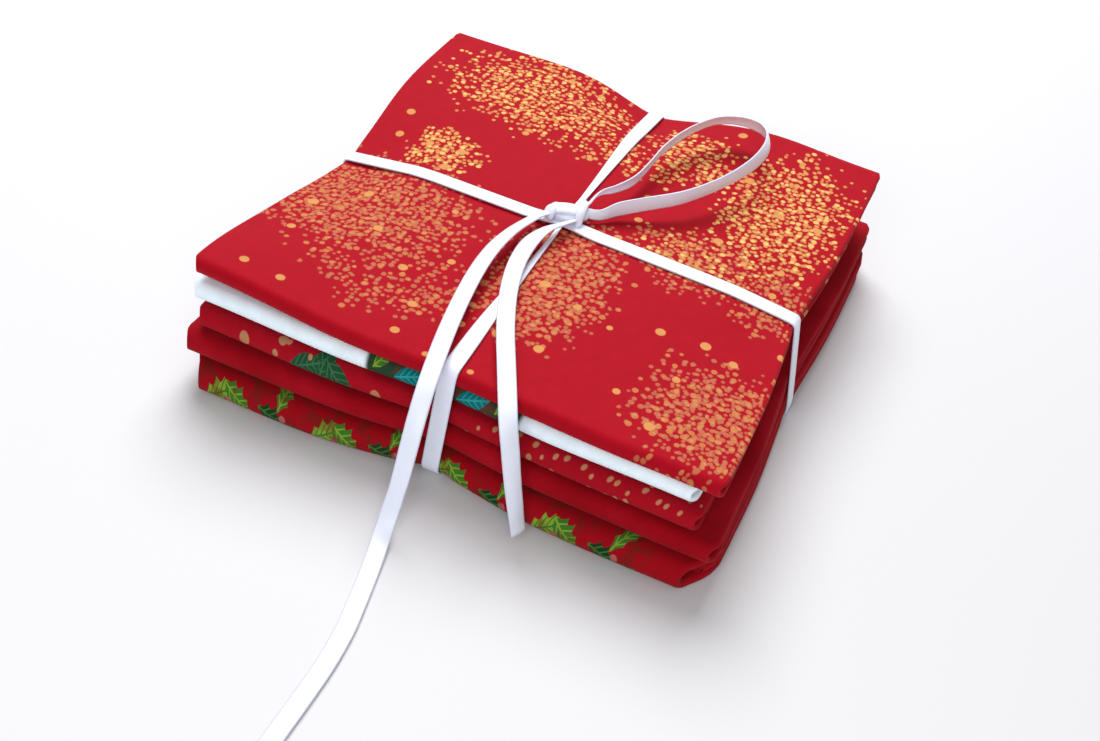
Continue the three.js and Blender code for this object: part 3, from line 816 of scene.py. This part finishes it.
# %% [markdown]
# ## Gold dots in soft clusters
#
# Metallic dots are printed thickly in some places and thinly in others. A cell pattern gives each
# dot a centre, and a few soft patches say how likely a dot is to be printed there, so that every
# dot is whole and no two edges match. The clusters at the back are painted bright and golden, as a
# painted reflection of the metallic ink, and those at the front softer and redder, as painted
# shade;
# so there are two sets of patches, each with three sizes of dot laid over each other. A few large
# dots lie alone between them.

# %% Dots and patches
DOT_LEAST, DOT_MORE = 0.6, 0.5  # the smallest radius and what may be added, as shares of size
DOT_SCATTER = 0.72
KEY_SLANT = 0.7
DOT_IN, DOT_OUT = 0.16 * MM, -0.14 * MM  # where a dot's edge is full and where it is gone
PATCH_FULL, PATCH_GONE = 0.45, 1.2


def dots(recipe, at, cell, size, cover, key):
    """Round dots, one at most in each cell. cover returns how thickly they lie at a place."""
    slide = (key, key * KEY_SLANT, 0)
    moved = recipe.vector("ADD", at, slide)
    sockets = {"Vector": moved, "Scale": 1 / cell, "Randomness": DOT_SCATTER}
    node = recipe.add("ShaderNodeTexVoronoi", sockets, feature="F1", voronoi_dimensions="2D")
    away = recipe.vector("DISTANCE", moved, node.outputs["Position"], out=1)
    chance, vary = recipe.split(node.outputs["Color"])
    share = recipe.math("MULTIPLY_ADD", vary, DOT_MORE, DOT_LEAST)
    inside = recipe.math("SUBTRACT", recipe.math("MULTIPLY", share, size), away)
    whole = recipe.edge(inside, DOT_OUT, DOT_IN)
    place = recipe.vector("SUBTRACT", node.outputs["Position"], slide)
    printed = recipe.math("LESS_THAN", chance, cover(place))
    return recipe.math("MULTIPLY", whole, printed)


def patches(recipe, rows, ragged=9.0):
    """A cover function with ragged outlines. Rows: place, half sizes in mm and strength."""

    def cover(place):
        _, colour = recipe.noise(place, 90, 3)
        shift = recipe.vector("MULTIPLY", recipe.vector("SUBTRACT", colour, (0.5, 0.5, 0.5)),
                              (ragged * MM, ragged * MM, 0))
        moved = recipe.vector("ADD", place, shift)
        total = 0.0
        for x, y, wide, deep, strength in rows:
            away = recipe.vector("SUBTRACT", moved, (x * MM, y * MM, 0))
            scaled = recipe.vector("MULTIPLY", away, (1 / (wide * MM), 1 / (deep * MM), 0))
            far = recipe.vector("LENGTH", scaled, out=1)
            near = recipe.math("SUBTRACT", 1.0, recipe.edge(far, PATCH_FULL, PATCH_GONE))
            total = recipe.math("MAXIMUM", total, recipe.math("MULTIPLY", near, strength))
        return total

    return cover


print("dots are spread by", DOT_SCATTER, "of a cell")

# %% The gold dot cloth
# a row for each cluster: place, half width, half depth, how thickly the dots lie
# printed clusters at the back, whose dots are painted brighter and paler as a painted reflection
LIT_BACK_CLUSTERS = [
    (-31, 51, 33, 22, 0.9), (-8, 38, 28, 12, 0.5), (-43, 9, 12, 11, 1.0),
    (18, 46, 17, 17, 0.8), (51, 32, 20, 34, 0.95), (38, 2, 20, 12, 0.5),
]
# printed clusters at the front, whose dots are painted browner and weaker as painted shade
SHADED_FRONT_CLUSTERS = [
    (-50, -24, 34, 26, 0.9), (-28, -50, 28, 16, 0.5), (7, -30, 18, 30, 1.0),
    (40, -2, 26, 14, 0.6), (60, -6, 14, 16, 0.7), (60, -56, 20, 22, 1.0),
]
CRIMSON = (0.37, 0.0015, 0.010)
# the gold ink, the ink darkened by painted shade, and the ink lightened by a painted highlight
GOLD, SHADED_GOLD, HIGHLIGHT_GOLD = (0.62, 0.29, 0.09), (0.52, 0.20, 0.095), (0.78, 0.50, 0.16)
gold_dot = Recipe("cotton_gold_dot", CRIMSON, 0.72)
at = gold_dot.flat_cloth()
# patches at the back carry the painted reflection of the ink, those at the front its painted shade
lit_back_patches, shaded_front_patches = (patches(gold_dot, rows) for rows in (LIT_BACK_CLUSTERS, SHADED_FRONT_CLUSTERS))
colour = CRIMSON
# clusters, cell and dot size in mm, key that moves the cells, colour, how strongly it covers
for cover, cell, size, key, tint, strength in (
    (shaded_front_patches, 1.7, 0.64, 0.0, SHADED_GOLD, 0.55), (shaded_front_patches, 2.1, 0.74, 0.041, SHADED_GOLD, 0.6),
    (shaded_front_patches, 2.8, 0.84, 0.083, GOLD, 0.55), (lit_back_patches, 1.8, 0.64, 0.037, GOLD, 0.7),
    (lit_back_patches, 2.2, 0.72, 0.071, GOLD, 0.9), (lit_back_patches, 2.9, 0.78, 0.113, HIGHLIGHT_GOLD, 0.85),
):
    printed = dots(gold_dot, at, cell * MM, size * MM, cover, key)
    colour = gold_dot.blend(gold_dot.math("MULTIPLY", printed, strength), colour, tint)
SINGLE_CELL, SINGLE_SIZE, SINGLE_CHANCE = 11 * MM, 1.35 * MM, 0.42
single = dots(gold_dot, at, SINGLE_CELL, SINGLE_SIZE, lambda place: SINGLE_CHANCE, 0.151)
colour = gold_dot.blend(gold_dot.math("MULTIPLY", single, 0.9), colour, GOLD)
weave(gold_dot, at, colour)
lay_on("gold_dot", gold_dot)

# %% [markdown]
# ## Leaves, berries and sprigs
#
# Seasonal prints repeat one small drawing over the cloth. The drawing here is a handful of leaves
# and berries in a rectangle, and the rectangle is repeated. Each leaf is a simple outline, plain
# or toothed, with a middle vein and slanting side veins in a second green.

# %% Motifs
VEIN_RATE = 2 * math.pi / (1.7 * MM)  # side veins 1.7 mm apart, as turns of a sine
VEIN_SHARE = 0.72  # the sine must be above this, so veins are narrower than the gaps
MIDDLE_VEIN = 0.2 * MM
TOOTH_RATE = 6.5


def repeated(recipe, at, wide, deep, shift):
    """Places within one repeat of the print, measured from its middle."""
    moved = recipe.vector("ADD", at, (shift[0] * MM, shift[1] * MM, 0))
    half = (wide * MM / 2, deep * MM / 2, 1)
    return recipe.vector("WRAP", moved, half, tuple(-h for h in half))


def leaf(recipe, at, x, y, long, wide, heading, teeth):
    """A leaf's mask and its veins' mask. Sizes are in millimetres, half lengths."""
    a = math.radians(heading)
    away = recipe.vector("SUBTRACT", at, (x * MM, y * MM, 0))
    along = recipe.vector("DOT_PRODUCT", away, (math.cos(a), math.sin(a), 0), out=1)
    aside = recipe.vector("DOT_PRODUCT", away, (-math.sin(a), math.cos(a), 0), out=1)
    aside = recipe.math("ABSOLUTE", aside)
    part = recipe.math("DIVIDE", along, long * MM)
    body = recipe.math("SUBTRACT", 1.0, recipe.math("MULTIPLY", part, part))
    if teeth:
        turn_by = recipe.math("MULTIPLY", part, TOOTH_RATE)
        wave = recipe.math("ABSOLUTE", recipe.math("SINE", turn_by))
        notch = recipe.math("MULTIPLY_ADD", wave, -teeth, 1.0 + teeth / 2)
        body = recipe.math("MULTIPLY", body, notch)
    room = recipe.math("SUBTRACT", recipe.math("MULTIPLY", body, wide * MM), aside)
    mask = recipe.edge(room, -0.08 * MM, 0.12 * MM)
    middle = recipe.math("LESS_THAN", aside, MIDDLE_VEIN)
    slant = recipe.math("MULTIPLY", recipe.math("SUBTRACT", along, aside), VEIN_RATE)
    ribs = recipe.math("GREATER_THAN", recipe.math("SINE", slant), VEIN_SHARE)
    return mask, recipe.math("MULTIPLY", mask, recipe.math("MAXIMUM", middle, ribs))


def berry(recipe, at, x, y, radius):
    away = recipe.vector("DISTANCE", at, (x * MM, y * MM, 0), out=1)
    return recipe.edge(recipe.math("SUBTRACT", radius * MM, away), -0.08 * MM, 0.14 * MM)


def printed_motifs(recipe, ground, cell, teeth, leaves, berries):
    """Leaves and berries over a ground. Leaves: x, y, long, wide, heading, the two colours."""
    colour = ground
    for x, y, long, wide, heading, (tint, vein_tint) in leaves:
        mask, vein = leaf(recipe, cell, x, y, long, wide, heading, teeth)
        colour = recipe.blend(mask, colour, tint)
        colour = recipe.blend(vein, colour, vein_tint)
    for x, y, radius, tint in berries:
        colour = recipe.blend(berry(recipe, cell, x, y, radius), colour, tint)
    return colour


BRIGHT_GREEN, DARK_GREEN, LIME = (0.04, 0.17, 0.02), (0.005, 0.04, 0.016), (0.21, 0.33, 0.03)
TAN, DUSKY_PINK = (0.46, 0.20, 0.10), (0.40, 0.11, 0.11)
# the colours of a leaf and of its veins
BRIGHT_LEAF, LIME_LEAF = (BRIGHT_GREEN, LIME), (LIME, BRIGHT_GREEN)
DARK_LEAF = (DARK_GREEN, BRIGHT_GREEN)
TOOTHED, PLAIN = 0.5, 0.0
print("motifs: leaf and berry")

# %% [markdown]
# ### The bottom cloth
#
# The bottom piece has bunches of toothed leaves with dusky pink berries. Its ground is dyed
# darker and greener in small spots. Where only the folded edge at the right shows, it is plain.

# %% The holly cloth
HOLLY_RED, SHADOW_GREEN = (0.32, 0.002, 0.008), (0.012, 0.018, 0.006)
PLAIN_FROM, PLAIN_FULL = 58 * MM, 62 * MM
holly = Recipe("cotton_holly", HOLLY_RED, 0.8)
at = holly.flat_cloth()
cell = repeated(holly, at, 32, 24, (20, 79))
holly_colour = printed_motifs(holly, HOLLY_RED, cell, TOOTHED, [
    (-11, 1.6, 5.0, 2.4, 25, LIME_LEAF), (-5.4, 1.8, 4.8, 2.3, -30, BRIGHT_LEAF),
    (-8.2, -3.2, 4.6, 2.2, 78, LIME_LEAF), (5.6, 0.8, 4.8, 2.2, -18, DARK_LEAF),
    (10.4, -2.2, 4.4, 2.1, 38, DARK_LEAF), (8.4, 6.5, 4.4, 2.0, 70, BRIGHT_LEAF),
    (-2.5, -8, 4.4, 2.0, 10, DARK_LEAF),
], [
    (-8.2, 0.4, 1.1, DUSKY_PINK), (-6.6, -1.0, 1.0, DUSKY_PINK), (8.4, 1.2, 1.0, DUSKY_PINK),
    (1.2, -3.4, 0.9, DUSKY_PINK), (-14.5, -1.5, 0.9, DUSKY_PINK),
])
shaded, _ = holly.noise(at, 260, 3)
shaded = holly.math("MULTIPLY", holly.edge(shaded, 0.48, 0.62), 0.6)
holly_colour = holly.blend(shaded, holly_colour, holly.blend(0.35, SHADOW_GREEN, HOLLY_RED))
u, _ = holly.split(at)
holly_colour = holly.blend(holly.edge(u, PLAIN_FROM, PLAIN_FULL), holly_colour, HOLLY_RED)
weave(holly, at, holly_colour)
lay_on("holly", holly)

# %% [markdown]
# ### The two red cloths above it
#
# The fourth piece is a solid dark red, a little mottled. The third has a few dark leaves at the
# left and small tan dots at the right, which use the same dot helper as the gold ones.

# %% The plain red cloth
DEEP_RED, LEAF_RED = (0.28, 0.001, 0.006), (0.36, 0.003, 0.012)
plain_red = Recipe("cotton_plain_red", DEEP_RED, 0.82)
at = plain_red.flat_cloth()
mottle, _ = plain_red.noise(at, 60, 3)
weave(plain_red, at, plain_red.blend(plain_red.edge(mottle, 0.3, 0.7), DEEP_RED, LEAF_RED))
lay_on("plain_red", plain_red)

# %% The red leaf cloth
PINE_LEAF = ((0.012, 0.07, 0.03), (0.04, 0.14, 0.06))
TAN_CLUSTERS = [(42, -78, 34, 14, 0.9), (-48, -76, 20, 10, 0.25)]
red_leaf = Recipe("cotton_red_leaf", LEAF_RED, 0.8)
at = red_leaf.flat_cloth()
cell = repeated(red_leaf, at, 150, 40, (30, 78))
leaf_colour = printed_motifs(red_leaf, LEAF_RED, cell, PLAIN, [
    (-3, 3, 6, 2.8, 75, PINE_LEAF), (2, 1, 6, 2.6, -40, PINE_LEAF), (-8, 2, 5, 2.2, 20, PINE_LEAF),
], [(-26, 2, 1.5, TAN), (-30, -1, 1.2, TAN), (12, 1, 1.4, TAN), (-15, 5, 1.3, TAN)])
tan_dots = dots(red_leaf, at, 3.4 * MM, 0.75 * MM, patches(red_leaf, TAN_CLUSTERS, 4), 0.02)
weave(red_leaf, at, red_leaf.blend(tan_dots, leaf_colour, TAN))
lay_on("red_leaf", red_leaf)

# %% [markdown]
# ### The white cloth
#
# The second piece is white at both sides of its front fold, and a dark panel of sprigs shows
# between them. The panel is a plain band across the flat cloth that lets the sprigs through.

# %% The white print cloth
WHITE, BARK, MOSS = (0.81, 0.93, 1.0), (0.10, 0.035, 0.02), (0.02, 0.05, 0.025)
TEAL_LEAF = ((0.0, 0.16, 0.17), (0.03, 0.30, 0.30))
PANEL_LEFT, PANEL_RIGHT, PANEL_EDGE = -20 * MM, 23 * MM, 1.5 * MM
white_print = Recipe("cotton_white_print", WHITE, 0.75)
at = white_print.flat_cloth()
cell = repeated(white_print, at, 17, 14, (3, 76))
mixed, _ = white_print.noise(at, 190, 2)
sprig_ground = white_print.blend(white_print.edge(mixed, 0.42, 0.58), BARK, MOSS)
sprig_colour = printed_motifs(white_print, sprig_ground, cell, PLAIN, [
    (-4, 1, 4.6, 2.2, 15, TEAL_LEAF), (3, -3, 4.2, 1.8, -40, DARK_LEAF),
    (5, 3, 3.6, 1.6, 50, BRIGHT_LEAF),
], [(-5, -4, 1.3, TAN), (0, 4.5, 1.1, DUSKY_PINK)])
u, _ = white_print.split(at)
panel = white_print.math("SUBTRACT", white_print.edge(u, PANEL_LEFT, PANEL_LEFT + PANEL_EDGE),
                         white_print.edge(u, PANEL_RIGHT, PANEL_RIGHT + PANEL_EDGE))
weave(white_print, at, white_print.blend(panel, WHITE, sprig_colour))
lay_on("white_print", white_print)

# %% [markdown]
# ## Satin
#
# Satin is smooth because its threads float over each other in one direction, so it shines along
# its length and looks grey where it turns away. Fine lines along the strip, a firmer edge and a
# soft sheen give that look without a picture.

# %% Satin ribbon
SATIN_WHITE, SATIN_EDGE = (0.79, 0.83, 0.95), (0.68, 0.70, 0.84)
FLOAT_APART = 0.16 * MM
EDGE_FROM, EDGE_FULL = 2.1 * MM, 2.3 * MM
satin = Recipe("satin_ribbon", SATIN_WHITE, 0.34)
at = satin.flat_cloth()
u, v = satin.split(at)
lines = satin.math("SINE", satin.math("MULTIPLY", u, 2 * math.pi / FLOAT_APART))
ribs, _ = satin.noise(satin.vector("MULTIPLY", at, (1.0, 0.12, 0)), 1500, 2)
satin.set(satin.shader, "Normal", satin.bump(satin.math("ADD", lines, ribs), 0.12, 0.04))
woven_edge = satin.edge(satin.math("ABSOLUTE", u), EDGE_FROM, EDGE_FULL)
satin.set(satin.shader, "Base Color", satin.blend(woven_edge, SATIN_WHITE, SATIN_EDGE))
satin.shader.inputs["Sheen Weight"].default_value = 0.3
satin.shader.inputs["Sheen Roughness"].default_value = 0.35
satin.shader.inputs["Coat Weight"].default_value = 0.1
satin.shader.inputs["Coat Roughness"].default_value = 0.4
ribbon_pieces = (loop, tail_long, tail_short, *tie_pieces)
for piece in ribbon_pieces:
    piece.data.materials.append(satin.material)
print("satin on", len(ribbon_pieces), "pieces")

# %% [markdown]
# ## Floor and light
#
# The bundle lies on a plain pale table under one broad light from above and behind, which keeps
# the top bright and leaves the folded sides in shade. A small light near the front right lifts
# the folds that face the camera. Lamps this close leave the far floor dark, so it glows softly
# from a third of a metre outwards.

# %% Floor
FLOOR_SIZE, FLOOR_UNDER = 16, -0.0002  # metres
FAR_GLOW = 0.6
GLOW_FROM, GLOW_FULL = 0.35, 1.2  # metres from the middle
bpy.ops.object.select_all(action="DESELECT")
bpy.ops.mesh.primitive_plane_add(size=FLOOR_SIZE, location=(0, 0, FLOOR_UNDER))
floor = bpy.context.active_object
floor.name = "floor"
pale = Recipe("pale_table", (0.66, 0.66, 0.67), 0.7)
from_middle = pale.vector("LENGTH", pale.add("ShaderNodeTexCoord").outputs["Object"], out=1)
glow = pale.math("MULTIPLY", pale.edge(from_middle, GLOW_FROM, GLOW_FULL), FAR_GLOW)
pale.set(pale.shader, "Emission Strength", glow)
floor.data.materials.append(pale.material)
print("floor %d m wide" % FLOOR_SIZE)

# %% Lights
LIT_AT = (0, 0, 0.02)  # what both lights point at
ROOM_COLOUR, ROOM_LIGHT = (0.93, 0.94, 0.96, 1), 0.36


def soft_light(name, place, size, power, tint):
    data = bpy.data.lights.new(name, "AREA")
    data.shape, data.size, data.energy, data.color = "DISK", size, power, tint
    lamp = bpy.data.objects.new(name, data)
    lamp.location = place
    lamp.rotation_euler = (Vector(LIT_AT) - Vector(place)).to_track_quat("-Z", "Y").to_euler()
    bpy.context.scene.collection.objects.link(lamp)
    print(name, power, "W")


soft_light("window", (-0.32, 0.62, 0.95), 0.85, 17.6, (0.98, 0.98, 1.0))
soft_light("front_fill", (0.12, -0.6, 0.4), 0.5, 2.3, (1, 1, 1))
world = bpy.data.worlds.new("studio")
world.use_nodes = True
world.node_tree.nodes["Background"].inputs[0].default_value = ROOM_COLOUR
world.node_tree.nodes["Background"].inputs[1].default_value = ROOM_LIGHT
bpy.context.scene.world = world
bpy.context.scene.view_settings.view_transform = "Standard"
